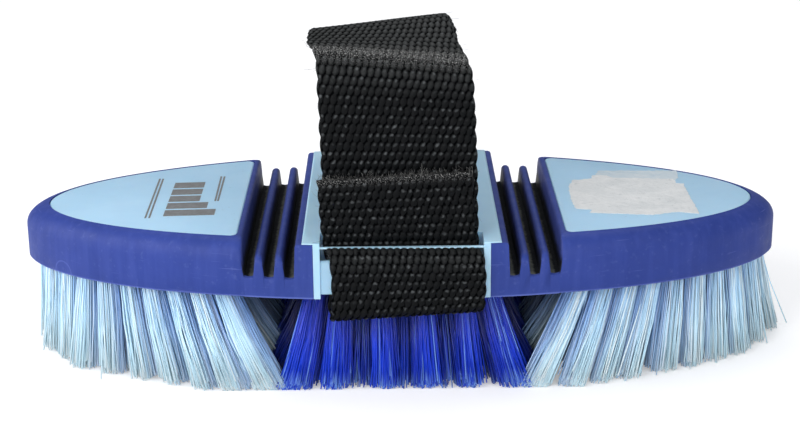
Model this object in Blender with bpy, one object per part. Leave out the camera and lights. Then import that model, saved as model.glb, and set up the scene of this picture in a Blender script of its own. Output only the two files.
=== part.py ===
"""Flexible body brush for grooming, with a webbing hand strap.

Three blocks stand in a row on their bristles: a centre block that carries the strap, and two
end blocks. A rubber bellows of two ribs joins each end block to the centre, so the brush bends
to follow what it is drawn over. Metres, +Z up. The bristle tips stand on Z = 0, X runs along
the brush, and the front of the brush faces -Y.
"""
import math

import bmesh
import bpy
from mathutils import Vector

# Whole brush
brush_length = 0.1988
brush_width = 0.0802
bristle_length = 0.0242
block_depth = 0.0142
fit_gap = 0.0003
outline_lengthwise_power = 2.17
outline_crosswise_power = 1.68

# End blocks: the hard plate and the rubber rim round it. They fall a little towards their tips.
tip_rim_width = 0.0065
side_rim_width = 0.0040
plate_lengthwise_power = 1.90
plate_crosswise_power = 1.95
tip_droop = 0.0009
rim_wall_width = 0.0019
plate_corner_radius = 0.0018
plate_edge_round = 0.0004
rim_shoulder_depth = 0.0058
rim_lip_rise = 0.0001
rim_corner_radius = 0.0006
rim_foot_round = 0.0004
shoulder_turns_share = (0, 0.25, 0.48, 0.67, 0.84)
shoulder_lip_share = 0.90

# Bellows between the blocks
groove_width = 0.0023
groove_floor_height = 0.0054
rib_width = 0.00275
rib_top_drop = 0.0035
rib_draft = 0.0003
rib_end_round = 0.0016
wall_draft = 0.0004
wall_lip_round = 0.0008

# Centre block
centre_core_half = 0.0218
centre_plate_overhang = 0.0027
collar_width = 0.0021
centre_rise = 0.0006
centre_slope_run = 0.0096
centre_slope_drop = 0.0003
pillar_width = 0.0017
slot_depth = 0.0081
rim_bar_depth = 0.0006
rim_bar_drop = 0.0006
rim_bar_thickness = 0.0005
window_height = 0.0033
strap_bar_recess = 0.0004
strap_bar_thickness = 0.0012
strap_bar_foot = 0.0011
strap_bar_round = 0.0004
strap_bar_bedding = 0.0008

# Bristle fields: a slice of the block with the strands that stand in it
slice_thickness = 0.0024
slice_recess = 0.0004
strand_root_radius = 0.00075
strand_tip_radius = 0.00090
strand_sink = 0.0005
strand_pitch_lengthwise = 0.0044
strand_pitch_crosswise = 0.0039
strand_margin = 0.0019
end_spread_share = 0.38
centre_spread_share = 0.25
end_tip_flare = 0.0036
inner_lean_share = 0.615
centre_flare_share = 0.495

# Hand strap, one length of woven webbing threaded round the bar at the front and at the back
strap_side_gap = 0.0010
strap_thickness = 0.0016
strap_gap = 0.0003
flap_height = 0.0168
flap_stand_off = 0.00095
loop_stand_off = 0.0014
loop_hang = 0.0029
loop_sway = 0.0016
loop_tilt = 0.0023
arch_height = 0.0481
arch_sway = 0.0047
arch_tilt = 0.0034
arch_skew = 0.0153
# Stations over the arch: run from front to back, rise, sway to the left, fall of the right edge
# and lag of the right edge. The strap bends upwards at the sixth and creases at the eighth.
arch_shares = (
    (-0.99, 0.24, 0.03, 0, 0),
    (-0.98, 0.45, 0.05, 0.15, 0),
    (-0.955, 0.66, 0.15, 0.45, 0),
    (-0.905, 0.815, 0.24, 0.78, 0),
    (-0.85, 0.885, 0.34, 0.94, 0.01),
    (-0.785, 0.92, 0.47, 1, 0.04),
    (-0.53, 0.96, 0.83, 0.5, 0.52),
    (-0.256, 1, 1.06, 0, 1),
    (0.07, 0.93, 0.9, -0.18, 0.72),
    (0.385, 0.82, 0.68, -0.1, 0.45),
    (0.67, 0.636, 0.43, 0, 0.16),
    (0.87, 0.41, 0.22, 0, 0),
    (0.97, 0.19, 0.09, 0, 0),
)

# How far a cutter runs past the solid it cuts
overrun = 0.0050

RUBBER = ("rubber", (0.072, 0.085, 0.42), 0.55)
SHELL = ("shell", (0.40, 0.63, 0.80), 0.38)
WEB = ("web", (0.060, 0.066, 0.058), 0.75)
WEBBING = ("webbing", (0.012, 0.013, 0.015), 0.85)
PALE_BRISTLE = ("pale_bristle", (0.55, 0.70, 0.86), 0.45)
BLUE_BRISTLE = ("blue_bristle", (0.02, 0.04, 0.62), 0.40)

half_length = brush_length / 2
half_width = brush_width / 2
block_foot = bristle_length
plate_top = block_foot + block_depth
centre_top = plate_top + centre_rise
groove_floor = block_foot + groove_floor_height
rib_top = plate_top - rib_top_drop
slice_foot = block_foot + slice_recess
slice_top = slice_foot + slice_thickness
core_foot = slice_top + fit_gap
groove_pitch = groove_width + rib_width
centre_plate_half = centre_core_half + centre_plate_overhang
plate_tip = half_length - tip_rim_width
bellows_start = centre_plate_half + collar_width
bellows_end = bellows_start + 3 * groove_width + 2 * rib_width
plate_start = bellows_end + rim_wall_width
bellows_span = plate_start - centre_core_half
slot_half = centre_core_half - pillar_width
slot_inner_edge = half_width - slot_depth
strap_width = 2 * (slot_half - strap_side_gap)
rim_bar_top = plate_top - rim_bar_drop
window_top = rim_bar_top - rim_bar_thickness
strap_bar_top = window_top - window_height


def outline_reach(x, half_long, half_wide, long_power, wide_power):
    """Half width of a rounded outline at a distance x from its middle."""
    along = min(abs(x) / half_long, 1)
    return half_wide * (1 - along ** long_power) ** (1 / wide_power)


def body_reach(x):
    return outline_reach(x, half_length, half_width, outline_lengthwise_power, outline_crosswise_power)


# The bars are straight and the outline is curved, so the bars keep inside it at their ends
rim_bar_inner = body_reach(slot_half) - rim_bar_depth
strap_bar_outer = body_reach(slot_half + strap_bar_bedding) - strap_bar_recess
strap_bar_inner = strap_bar_outer - strap_bar_thickness


def clear_scene():
    for leftover in list(bpy.data.objects):
        bpy.data.objects.remove(leftover, do_unlink=True)


def make_material(owner, finish):
    kind, colour, roughness = finish
    material = bpy.data.materials.new(owner + "_" + kind)
    material.use_nodes = True
    shader = material.node_tree.nodes["Principled BSDF"]
    shader.inputs["Base Color"].default_value = (*colour, 1)
    shader.inputs["Roughness"].default_value = roughness
    shader.inputs["Metallic"].default_value = 0
    return material


def make_object(name, shape):
    """Turn a bmesh into a named object in the scene."""
    bmesh.ops.recalc_face_normals(shape, faces=shape.faces)
    mesh = bpy.data.meshes.new(name)
    shape.to_mesh(mesh)
    shape.free()
    made = bpy.data.objects.new(name, mesh)
    bpy.context.scene.collection.objects.link(made)
    return made


def finish_object(made, finish, smooth_degrees=32):
    """Give the object its own material, and smooth shading that stops at its edges."""
    made.data.materials.clear()
    made.data.materials.append(make_material(made.name, finish))
    made.data.shade_smooth()
    made.data.set_sharp_from_angle(angle=math.radians(smooth_degrees))


def combine(target, name, shape, operation):
    """Cut the target with a helper shape, or join the two."""
    helper = make_object(name, shape)
    helper.hide_render = True
    helper.display_type = "WIRE"
    modifier = target.modifiers.new(name, "BOOLEAN")
    modifier.operation = operation
    modifier.solver = "EXACT"
    modifier.object = helper
    depsgraph = bpy.context.evaluated_depsgraph_get()
    baked = bpy.data.meshes.new_from_object(target.evaluated_get(depsgraph))
    target.modifiers.clear()
    target.data = baked
    bpy.data.objects.remove(helper, do_unlink=True)


def place_origin(made, point):
    """Put the object's origin on a joint axis and leave its shape where it is."""
    point = Vector(point)
    for vertex in made.data.vertices:
        vertex.co -= point
    made.location = point


def loft(shape, loops, ring=False):
    """Skin a stack of loops of equal count. A ring joins the last loop to the first."""
    rows = [[shape.verts.new(point) for point in loop] for loop in loops]
    pairs = list(zip(rows, rows[1:]))
    if ring:
        pairs.append((rows[-1], rows[0]))
    for low, high in pairs:
        for index in range(len(low)):
            after = (index + 1) % len(low)
            shape.faces.new((low[index], low[after], high[after], high[index]))
    if not ring:
        shape.faces.new(list(reversed(rows[0])))
        shape.faces.new(rows[-1])


def box(low, high):
    shape = bmesh.new()
    bmesh.ops.create_cube(shape, size=1)
    middle = (Vector(low) + Vector(high)) / 2
    size = Vector(high) - Vector(low)
    for vertex in shape.verts:
        vertex.co = middle + vertex.co * size
    return shape


def blend(start, end, share):
    return start + (end - start) * share


def plate_reach(x):
    return outline_reach(x, plate_tip, half_width - side_rim_width, plate_lengthwise_power,
                         plate_crosswise_power)


def droop_at(x):
    """How far an end block has fallen at a distance x from the middle of the brush."""
    return tip_droop * max(x - plate_start, 0) / (plate_tip - plate_start)


def hinge_point(index, side):
    """The bellows bends at the middle of the web under each groove."""
    x = bellows_start + groove_width / 2 + index * groove_pitch
    return (side * x, 0, (block_foot + groove_floor) / 2)


def end_plan(side, start_x, plate_share, inset, corner_radius, height, side_steps=18, corner_steps=4):
    """Plan of an end block: a straight inner edge, two rounded corners and the curved tip.

    The plan is the outside of the rubber at plate_share 0 and the edge of the plate at 1."""
    half_long = half_length - tip_rim_width * plate_share - inset
    half_wide = half_width - side_rim_width * plate_share - inset
    long_power = blend(outline_lengthwise_power, plate_lengthwise_power, plate_share)
    wide_power = blend(outline_crosswise_power, plate_crosswise_power, plate_share)
    curve_x = start_x + corner_radius
    curve_y = outline_reach(curve_x, half_long, half_wide, long_power, wide_power)
    first_turn = math.acos((curve_x / half_long) ** (long_power / 2))
    front = []
    for step in range(corner_steps):
        angle = math.pi + math.pi / 2 * step / corner_steps
        front.append((curve_x + corner_radius * math.cos(angle),
                      corner_radius - curve_y + corner_radius * math.sin(angle)))
    for step in range(side_steps):
        turn = first_turn * (1 - step / side_steps)
        front.append((half_long * math.cos(turn) ** (2 / long_power),
                      -half_wide * math.sin(turn) ** (2 / wide_power)))
    back = [(x, -y) for x, y in reversed(front)]
    return [Vector((side * x, y, height - droop_at(x))) for x, y in front + [(half_long, 0)] + back]


def build_end_core(name, side):
    """Hard block with the plate on top, held by the rubber rim."""
    shape = bmesh.new()
    levels = ((core_foot, 0), (plate_top - plate_edge_round, 0), (plate_top, plate_edge_round))
    loft(shape, [end_plan(side, plate_start + inset, 1, inset, plate_corner_radius, z)
                 for z, inset in levels])
    made = make_object(name, shape)
    finish_object(made, SHELL)
    place_origin(made, hinge_point(2, side))


def build_rim(name, side):
    """Rubber ring round an end block: foot, upright wall, round shoulder and the plate's seat."""
    lip_z = plate_top + rim_lip_rise
    outer = [(block_foot, bellows_end, rim_foot_round / tip_rim_width),
             (block_foot + rim_foot_round, bellows_end, 0)]
    for turn_share in shoulder_turns_share:
        turn = math.pi / 2 * turn_share
        z = lip_z - rim_shoulder_depth * (1 - math.sin(turn))
        wall_x = bellows_end + wall_draft * (z - block_foot) / block_depth
        outer.append((z, wall_x, 1 - math.cos(turn)))
    outer.append((lip_z, bellows_end + wall_draft + wall_lip_round, shoulder_lip_share))
    loops = [end_plan(side, x, share, 0, rim_corner_radius, z) for z, x, share in outer]
    loops += [end_plan(side, plate_start - fit_gap, 1, -fit_gap, plate_corner_radius, z)
              for z in (lip_z, block_foot)]
    shape = bmesh.new()
    loft(shape, loops, ring=True)
    made = make_object(name, shape)
    finish_object(made, RUBBER)
    place_origin(made, hinge_point(2, side))


def cross_prism(side, section, inset_at):
    """Run a section in X and Z across the brush, from its front outline to its back outline."""
    front = [Vector((side * x, inset_at(z) - body_reach(x), z)) for x, z in section]
    back = [Vector((side * x, body_reach(x) - inset_at(z), z)) for x, z in section]
    shape = bmesh.new()
    loft(shape, [front, back])
    return shape


def build_rib(name, side, index):
    """Upright rib with drafted sides and a round top, its upper ends rounded too."""
    low_x = bellows_start + groove_width * (index + 1) + rib_width * index
    high_x = low_x + rib_width
    top_radius = rib_width / 2 - rib_draft
    crown_z = rib_top - top_radius
    section = [(low_x, block_foot), (high_x, block_foot), (high_x, groove_floor)]
    for step in range(7):
        turn = math.pi * step / 6
        section.append(((low_x + high_x) / 2 + top_radius * math.cos(turn),
                        crown_z + top_radius * math.sin(turn)))
    section.append((low_x, groove_floor))

    def inset_at(z):
        rise = max(z - (rib_top - rib_end_round), 0) / rib_end_round
        return rib_end_round / 2 * (1 - math.sqrt(1 - min(rise, 1) ** 2))

    made = make_object(name, cross_prism(side, section, inset_at))
    finish_object(made, RUBBER)
    place_origin(made, hinge_point(index, side))


def build_web(name, side, index):
    """Flexible web under a groove. The brush bends here."""
    low_x = bellows_start + index * groove_pitch + fit_gap
    high_x = low_x + groove_width - 2 * fit_gap
    section = [(low_x, block_foot), (high_x, block_foot), (high_x, groove_floor),
               (low_x, groove_floor)]
    made = make_object(name, cross_prism(side, section, lambda z: fit_gap))
    finish_object(made, WEB)
    place_origin(made, hinge_point(index, side))


def build_collar(name, side):
    """Rubber flank of the centre block. The edge of the plate overhangs it."""
    step_z = plate_top - fit_gap
    inner_x = centre_core_half + fit_gap
    section = [(inner_x, block_foot), (bellows_start, block_foot), (bellows_start, groove_floor)]
    for step in range(4):
        turn = math.pi / 2 * step / 3
        section.append((bellows_start - wall_draft - wall_lip_round * (1 - math.cos(turn)),
                        plate_top - wall_lip_round * (1 - math.sin(turn))))
    section += [(centre_plate_half + fit_gap, plate_top), (centre_plate_half + fit_gap, step_z),
                (inner_x, step_z)]
    made = make_object(name, cross_prism(side, section, lambda z: 0))
    finish_object(made, RUBBER)


def centre_plan(half_x, inset, height, steps=12):
    """Plan of the centre block. Body and plate share their places along the front."""
    places = [blend(-centre_core_half, centre_core_half, step / steps) for step in range(steps + 1)]
    if half_x > centre_core_half:
        places = [-half_x] + places + [half_x]
    front = [(x, inset - body_reach(x)) for x in places]
    back = [(x, -y) for x, y in reversed(front)]
    return [Vector((x, y, height)) for x, y in front + back]


def cut_profile(target, name, profile, half_x, operation):
    """Run a profile in Y and Z along the brush, on the front and on the back, and combine it."""
    for facing, place in ((-1, "front_"), (1, "back_")):
        shape = bmesh.new()
        loft(shape, [[Vector((x, facing * y, z)) for y, z in profile] for x in (-half_x, half_x)])
        combine(target, place + name, shape, operation)


def build_centre_core():
    """Body with a wider plate, and on both long sides a strap slot with its bar and window."""
    shape = bmesh.new()
    loft(shape, [centre_plan(centre_core_half, 0, z) for z in (block_foot, plate_top)])
    core = make_object("centre_core", shape)
    plate_levels = ((plate_top, 0), (centre_top - plate_edge_round, 0),
                    (centre_top, plate_edge_round))
    plate = bmesh.new()
    loft(plate, [centre_plan(centre_plate_half - inset, inset, z) for z, inset in plate_levels])
    combine(core, "plate", plate, "UNION")

    past_y = half_width + overrun
    past_top = centre_top + overrun
    past_foot = block_foot - overrun
    slope_start = half_width - centre_slope_run
    past_slope_z = centre_top - centre_slope_drop * (1 + overrun / centre_slope_run)
    slope = [(slope_start, centre_top), (past_y, past_slope_z), (past_y, past_top),
             (slope_start, past_top)]
    slot = [(slot_inner_edge, past_foot), (past_y, past_foot), (past_y, window_top),
            (rim_bar_inner, window_top), (rim_bar_inner, rim_bar_top), (past_y, rim_bar_top),
            (past_y, past_top), (slot_inner_edge, past_top)]
    cut_profile(core, "slot", slot, slot_half, "DIFFERENCE")
    bar_foot = block_foot + strap_bar_foot
    bar = [(strap_bar_inner, bar_foot), (strap_bar_outer, bar_foot),
           (strap_bar_outer, strap_bar_top - strap_bar_round),
           (strap_bar_outer - strap_bar_round, strap_bar_top), (strap_bar_inner, strap_bar_top)]
    cut_profile(core, "bar", bar, slot_half + strap_bar_bedding, "UNION")
    cut_profile(core, "slope", slope, centre_plate_half + overrun, "DIFFERENCE")
    seat_x = centre_core_half + overrun
    seat_y = slot_inner_edge - fit_gap
    seat = box((-seat_x, -seat_y, past_foot), (seat_x, seat_y, core_foot))
    combine(core, "bristle_seat", seat, "DIFFERENCE")
    finish_object(core, SHELL)


def add_strand(shape, root, tip, turn):
    """Three-sided strand that widens to its tip, cut flat where the brush stands."""
    ends = []
    for place, radius in ((root, strand_root_radius), (tip, strand_tip_radius)):
        corners = []
        for corner in range(3):
            angle = turn + 2 * math.pi * corner / 3
            corners.append(place + Vector((radius * math.cos(angle), radius * math.sin(angle), 0)))
        ends.append(corners)
    loft(shape, ends)


def build_bristles(name, slice_shape, roots, tip_of, finish):
    """Join strands to their slice. Tips only spread from their roots, so no strands cross."""
    made = make_object(name, slice_shape)
    strands = bmesh.new()
    for number, (x, y) in enumerate(roots):
        tip = Vector((*tip_of(x, y), 0))
        root = Vector((x, y, slice_foot - droop_at(abs(x))))
        sunk = root + (root - tip) * (strand_sink / root.z)
        add_strand(strands, sunk, tip, number)
    combine(made, name + "_strands", strands, "UNION")
    finish_object(made, finish)
    print(name, "strands:", len(roots))
    return made


def staggered_roots(x_low, x_high, is_inside):
    """Places in columns across the brush, every second column shifted by half a pitch."""
    gaps = round((x_high - x_low) / strand_pitch_lengthwise)
    reach = math.ceil(half_width / strand_pitch_crosswise)
    roots = []
    for column in range(gaps + 1):
        x = blend(x_low, x_high, column / gaps)
        shift = strand_pitch_crosswise / 2 * (column % 2)
        for row in range(-reach, reach + 1):
            y = row * strand_pitch_crosswise + shift
            if is_inside(x, y):
                roots.append((x, y))
    return roots


def build_end_bristles(name, side):
    shape = bmesh.new()
    loft(shape, [end_plan(side, plate_start, 1, 0, plate_corner_radius, z)
                 for z in (slice_foot, slice_top)])
    first_x = plate_start + strand_margin
    last_x = plate_tip - strand_margin
    middle_x = (first_x + last_x) / 2
    half_run = middle_x - first_x
    inner_lean = bellows_span * inner_lean_share

    def is_inside(x, y):
        return abs(y) < plate_reach(x + strand_margin / 2) - strand_margin

    def tip_of(x, y):
        along = (abs(x) - middle_x) / half_run
        shift = -inner_lean * along ** 2 if along < 0 else end_tip_flare * along ** 2
        return side * (abs(x) + shift), y * (1 + end_spread_share)

    roots = [(side * x, y) for x, y in staggered_roots(first_x, last_x, is_inside)]
    made = build_bristles(name, shape, roots, tip_of, PALE_BRISTLE)
    place_origin(made, hinge_point(2, side))


def build_centre_bristles():
    half_y = slot_inner_edge - 2 * fit_gap
    shape = box((-centre_core_half, -half_y, slice_foot), (centre_core_half, half_y, slice_top))
    reach = centre_core_half - strand_margin
    flare = bellows_span * centre_flare_share

    def tip_of(x, y):
        return x + math.copysign(flare * (x / reach) ** 2, x), y * (1 + centre_spread_share)

    roots = staggered_roots(-reach, reach, lambda x, y: abs(y) < half_y - strand_margin)
    build_bristles("centre_bristles", shape, roots, tip_of, BLUE_BRISTLE)


def strap_station(x, y, z, tilt=0, skew=0):
    """Left and right edge of the strap; tilt lifts the right edge, skew sets it back."""
    half_x = math.sqrt(strap_width ** 2 - tilt ** 2 - skew ** 2) / 2
    return (Vector((x - half_x, y - skew / 2, z - tilt / 2)),
            Vector((x + half_x, y + skew / 2, z + tilt / 2)))


def threaded_route():
    """Middle of the strap from the free flap's end to the leg behind it, seen from the side.

    Each point is a distance from the brush's middle, a height, and the shares of the front
    loop's sway and tilt that it has."""
    half = strap_thickness / 2
    flap_y = rim_bar_inner - flap_stand_off - half
    leg_y = flap_y - strap_thickness - strap_gap
    outside_y = strap_bar_outer + loop_stand_off + half
    behind_y = strap_bar_inner - strap_gap - half
    window_z = (window_top + strap_bar_top) / 2
    bar_foot = block_foot + strap_bar_foot
    turn_y = (outside_y + behind_y) / 2
    turn_radius = (outside_y - behind_y) / 2
    turn_z = bar_foot - loop_hang
    under_rim = window_top - half - strap_gap
    route = [(flap_y, plate_top + flap_height, -0.95, 0.9),
             (flap_y, plate_top + flap_height * 0.55, -0.7, 0.4),
             (flap_y, plate_top + flap_height * 0.15, -0.35, 0.1),
             (rim_bar_inner - half - strap_gap * 3, window_top, -0.1, 0),
             (rim_bar_inner - half / 2, under_rim, 0.15, 0),
             (outside_y - half / 2, under_rim - strap_gap, 0.5, -0.2),
             (outside_y, strap_bar_top - half / 4, 0.85, 0),
             (outside_y, blend(strap_bar_top, bar_foot, 0.35), 0.9, 0.1),
             (outside_y, bar_foot, 0.95, 0.5)]
    for step in range(5):
        turn = math.pi * step / 4
        route.append((turn_y + turn_radius * math.cos(turn), turn_z - turn_radius * math.sin(turn),
                      blend(0.95, 0.3, step / 4), 1))
    route += [(behind_y, bar_foot, 0.3, 0.5),
              (behind_y, blend(bar_foot, strap_bar_top, 0.85), 0.1, 0),
              (blend(behind_y, leg_y, 0.4), window_z, 0, 0),
              (blend(behind_y, leg_y, 0.85), plate_top, 0, 0),
              (leg_y, plate_top + strap_thickness * 2, -0.1, 0)]
    return route, leg_y


def smooth_route(points, steps):
    """Catmull-Rom curve through the points."""
    padded = [points[0]] + points + [points[-1]]
    curve = []
    for a, b, c, d in zip(padded, padded[1:], padded[2:], padded[3:]):
        for step in range(steps):
            t = step / steps
            curve.append((b * 2 + (c - a) * t + (a * 2 - b * 5 + c * 4 - d) * t ** 2
                          + (b * 3 - a - c * 3 + d) * t ** 3) / 2)
    return curve + [points[-1]]


def build_strap():
    """One band: front flap, front loop, arch over the hand, back loop and back flap."""
    route, leg_y = threaded_route()
    stations = [strap_station(loop_sway * sway, -y, z, loop_tilt * tilt)
                for y, z, sway, tilt in route]
    for run, rise, sway, fall, lag in arch_shares:
        stations.append(strap_station(-arch_sway * sway, leg_y * run, plate_top + arch_height * rise,
                                      -arch_tilt * fall, arch_skew * lag))
    stations += [strap_station(0, y, z) for y, z, sway, tilt in reversed(route)]
    left = smooth_route([station[0] for station in stations], 2)
    right = smooth_route([station[1] for station in stations], 2)
    loops = []
    last = len(left) - 1
    for index in range(last + 1):
        before = max(index - 1, 0)
        after = min(index + 1, last)
        run = left[after] - left[before] + right[after] - right[before]
        normal = run.cross(right[index] - left[index]).normalized() * strap_thickness / 2
        loops.append([left[index] - normal, right[index] - normal,
                      right[index] + normal, left[index] + normal])
    shape = bmesh.new()
    loft(shape, loops)
    made = make_object("hand_strap", shape)
    finish_object(made, WEBBING)


def build_side(place, side):
    """End block, its bellows and the collar it starts from, on one side of the centre."""
    build_end_core(place + "_core", side)
    build_rim(place + "_rim", side)
    build_end_bristles(place + "_bristles", side)
    build_collar(place + "_collar", side)
    for index, order in enumerate(("inner", "outer")):
        build_rib(place + "_" + order + "_rib", side, index)
    for index, order in enumerate(("inner", "middle", "outer")):
        build_web(place + "_" + order + "_web", side, index)


clear_scene()
build_centre_core()
build_centre_bristles()
build_side("left", -1)
build_side("right", 1)
build_strap()
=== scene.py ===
"""Looks for the flexible body brush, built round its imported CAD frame. Metres, +Z up.

The rubber, the hard blocks, the bristles and the webbing strap each get their own meshes, made
in the places of the CAD nodes that they stand for, and procedural materials.
"""
import math
import random

import bmesh
import bpy
import numpy as np
from mathutils import Matrix, Vector


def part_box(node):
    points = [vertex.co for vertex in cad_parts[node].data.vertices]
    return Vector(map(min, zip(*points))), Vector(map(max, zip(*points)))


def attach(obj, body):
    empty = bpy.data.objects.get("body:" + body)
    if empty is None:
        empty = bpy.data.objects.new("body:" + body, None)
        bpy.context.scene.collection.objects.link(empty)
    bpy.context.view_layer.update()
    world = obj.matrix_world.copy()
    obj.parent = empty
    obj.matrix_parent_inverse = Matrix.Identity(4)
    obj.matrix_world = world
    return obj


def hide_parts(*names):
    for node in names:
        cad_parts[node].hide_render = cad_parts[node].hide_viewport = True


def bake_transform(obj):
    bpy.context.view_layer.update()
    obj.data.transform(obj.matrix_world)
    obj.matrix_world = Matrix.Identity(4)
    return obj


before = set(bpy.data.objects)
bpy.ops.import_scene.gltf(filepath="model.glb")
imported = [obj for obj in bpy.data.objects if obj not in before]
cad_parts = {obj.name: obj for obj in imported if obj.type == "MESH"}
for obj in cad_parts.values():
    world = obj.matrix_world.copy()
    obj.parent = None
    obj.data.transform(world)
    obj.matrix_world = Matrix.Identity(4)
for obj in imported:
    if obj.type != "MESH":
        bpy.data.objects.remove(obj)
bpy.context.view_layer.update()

# Photograph and camera. The camera stands in front of the brush and looks a little down.
photo_width = 800
camera_focal_pixels = 1720
sensor_width = 36
camera_place = (-0.00234, -0.43375, 0.18115)
camera_pitch = 0.329
camera_yaw = 0.005
camera_roll = -0.009
camera_clip_start = 0.01

# Stage. Each light has a name, a place, a size and a power.
floor_half_size = 3
floor_glow = 0.33
sky_tone = (0.93, 0.96, 1.0, 1)
sky_strength = 0.33
light_target = (0, 0, 0.02)
studio_lights = (
    ("left_side_light", (-0.8, -0.15, 0.30), 0.5, 3.7),
    ("left_front_light", (-0.6, -0.7, 0.6), 0.5, 4.6),
    ("right_front_light", (0.6, -0.7, 0.6), 0.5, 2.2),
    ("back_light", (0, 0.45, 0.9), 0.8, 3.5),
    ("front_light", (0, -1.0, 0.14), 0.6, 4.9),
)

# Outline of the rubber and of the plates, as in the CAD. Powers are lengthwise and crosswise.
rubber_powers = (2.17, 1.68)
plate_powers = (1.90, 1.95)
plan_side_steps = 64
plan_corner_steps = 7
tip_rim_width = 0.0065
side_rim_width = 0.0040
tip_droop = 0.0009
plate_corner_radius = 0.0018
plate_edge_round = 0.0005
plate_edge_points = 5
block_edge_round = 0.00022
merge_distance = 0.000002
flat_turn = math.radians(1.5)
smooth_below_degrees = 32
plate_smooth_degrees = 50
block_smooth_degrees = 30
rubber_smooth_degrees = 38
label_smooth_degrees = 40
fit_gap = 0.0003
seam_overlap = 0.00004

# Rubber. The rim's shares go from the rubber's outline to the plate's.
rim_shoulder_depth = 0.0058
rim_shoulder_turn = math.radians(78)
rim_shoulder_points = 13
rim_corner_radius = 0.0009
rim_foot_round = 0.0003
rim_foot_corner = 0.00005
shoulder_lip_share = 0.93
shoulder_turn_reach = 0.792
rim_top_share = 0.965
wall_draft = 0.0004
wall_lip_round = 0.0009
wall_lip_lean = 0.8
wall_lip_points = 9
wall_normal_share = 0.55
rib_draft = 0.0003
rib_shoulder_depth = 0.0021
rib_shoulder_run = 0.0026
rib_edge_round = 0.0004
rib_top_points = 17
shoulder_points = 10
groove_floor_height = 0.0054
groove_floor_dip = 0.00025
groove_end_drop = 0.0005
groove_end_run = 0.0009
web_steps = 8
floor_normal_share = 0.6
# Height of the painted highlight on the mould's line at the rubber's foot
flash_highlight_height = 0.0005
mould_mark_place = (-0.0878, -0.0178, 0.0239)
mould_mark_radius = 0.0030
mould_mark_line = 0.00012

# Strap route, as in the CAD
strap_width = 0.0382
strap_thickness = 0.0016
strap_gap = 0.0003
slot_depth = 0.0081
rim_bar_depth = 0.0006
rim_bar_drop = 0.0006
rim_bar_thickness = 0.0005
window_height = 0.0033
strap_bar_recess = 0.0004
strap_bar_bedding = 0.0008
pillar_width = 0.0017
strap_bar_thickness = 0.0012
strap_bar_foot = 0.0011
flap_height = 0.0168
flap_stand_off = 0.00095
loop_stand_off = 0.0014
loop_hump_drop = 0.0003
loop_hang = 0.0029
loop_turn_points = 5
loop_sway = 0.0016
loop_tilt = 0.0023
loop_top_point = 5
route_steps = 12

# Arch of the strap. Each point has shares of the run, the rise, the sway, the tilt and the skew.
arch_height = 0.0481
arch_sway = 0.0047
arch_tilt = 0.0034
arch_skew = 0.0153
crest_point = 5
ridge_point = 7
arch_shares = (
    (-0.99, 0.24, 0.03, 0, 0),
    (-0.98, 0.45, 0.05, 0.15, 0),
    (-0.955, 0.66, 0.15, 0.45, 0),
    (-0.905, 0.815, 0.24, 0.78, 0),
    (-0.85, 0.885, 0.34, 0.94, 0.01),
    (-0.785, 0.92, 0.47, 1, 0.04),
    (-0.53, 0.96, 0.83, 0.5, 0.52),
    (-0.256, 1, 1.06, 0, 1),
    (0.07, 0.93, 0.9, -0.18, 0.72),
    (0.385, 0.82, 0.68, -0.1, 0.45),
    (0.67, 0.636, 0.43, 0, 0.16),
    (0.87, 0.41, 0.22, 0, 0),
    (0.97, 0.19, 0.09, 0, 0),
)

# Weave of the webbing. A cockle has a height, and its radians for each metre along and across.
warp_pitch = 0.00084
weft_pitch = 0.0022
yarn_half_width = 0.00075
yarn_half_length = 0.00134
yarn_slant = 0.32
slant_gain = 3
weave_height = 0.00033
weave_steps_across = 132
weave_step_along = 0.00030
selvedge_share = 0.035
selvedge_scallop = 0.00038
scallop_power = 12
edge_wander = 0.00016
edge_wander_points = 60
strap_cockles = ((0.00012, 210, 60), (0.00010, 95, -110))
strap_top_lead = 0.004
strap_back_share = 0.62
millimetres = 1000

# Wear, lint with painted top light, and loose fibres of the webbing
crest_wear_width = 0.0023
cut_wear_width = 0.0012
cut_wear_share = 0.6
top_lint_light_lead = 0.001
top_lint_light_run = 0.002
ridge_lint_light_run = 0.01
slope_lint_lead = 0.011
slope_lint_run = 0.007
slope_lint_share = 0.7
loop_lint_lag = 0.002
loop_lint_width = 0.0026
loop_lint_share = 0.4
cut_fibres = 900
loose_fibres = 150
cut_fibre_lengths = (0.0003, 0.0011)
loose_fibre_lengths = (0.0004, 0.0016)
fibre_radius = 0.00003
fibre_bedding = 0.0004
fibre_lift = 0.0007
fibre_scatter = 0.45
fibre_curl = 0.5
fibre_stations = (0, 1 / 3, 2 / 3, 1)
fibre_corners = (0, 2.1, 4.2)
off_fibre = (0.3, 0.5, 0.8)

# Bristles
tuft_pitch = 0.0064
tuft_row_pitch = 0.0056
centre_row_pitch = 0.0031
centre_tuft_places = (0.0049, 0.0151, 0.0214)
centre_between_places = (0, 0.0101, 0.0185)
tuft_rows = 8
outline_samples = 600
sole_recess = 0.0004
centre_sole_inset = 0.0006
tuft_margin = 0.0042
tuft_tip_inset = 0.0061
tuft_side_inset = 0.0069
end_hole_radius = 0.0031
centre_hole_radius = 0.0024
second_row_depth = 0.55
centre_row_depth = 0.6
tuft_spread_radius = 0.0040
tuft_fan_radius = 0.0006
tuft_scatter = 0.0006
tip_scatter = 0.00035
tip_clearance = 0.0003
end_spread_share = 0.38
tip_spread_share = 0.20
centre_spread_share = 0.28
outer_tuft_filaments = 270
inner_tuft_filaments = 110
filament_radius = 0.000125
filament_radius_shares = (0.85, 1.15)
filament_tip_growth = 0.6
filament_opening_power = 1.12
filament_bow = 0.00028
filament_bedding = 0.0008
filament_sections = 3
filament_sides = 3
trim_unevenness = 0.0012
stray_share = 0.035
stray_reach = 0.0020
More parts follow.
